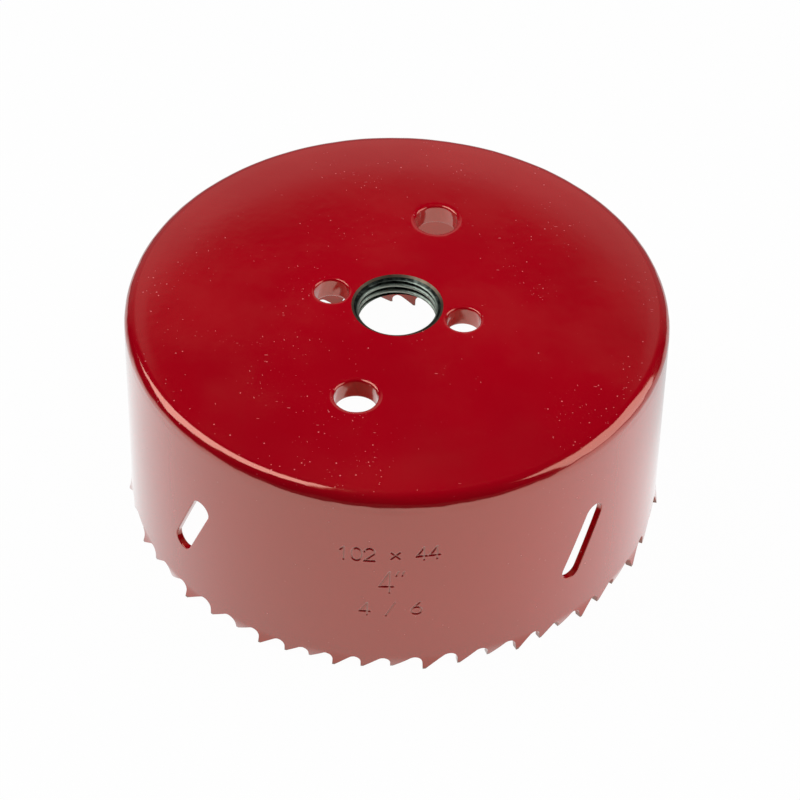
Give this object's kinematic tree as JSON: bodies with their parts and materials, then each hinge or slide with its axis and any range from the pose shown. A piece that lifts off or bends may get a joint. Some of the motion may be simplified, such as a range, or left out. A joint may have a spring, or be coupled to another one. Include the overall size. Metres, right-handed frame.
{
  "type": "hole saw",
  "caption": "Red painted steel cup with a thick holed end plate, slanted slots in its wall and a ring of set saw teeth.",
  "frame": {"origin": "on the arbor's axis at the level of the tooth tips, the plane that the saw stands on", "axes": "+Z along the arbor's axis, from the teeth to the end plate; +X through one of the two drive-pin holes"},
  "size_m": [0.1011, 0.1015, 0.0437],
  "materials": {
    "red_paint": "gloss enamel, deep red",
    "tooth_paint": "gloss enamel worn to steel on the cutting faces",
    "thread_steel": "bare tapped steel, dark and oiled"
  },
  "bodies": {
    "root": {"end_cap": "red_paint", "cup_wall": "red_paint", "tooth_edge": "tooth_paint"}
  },
  "joints": []
}
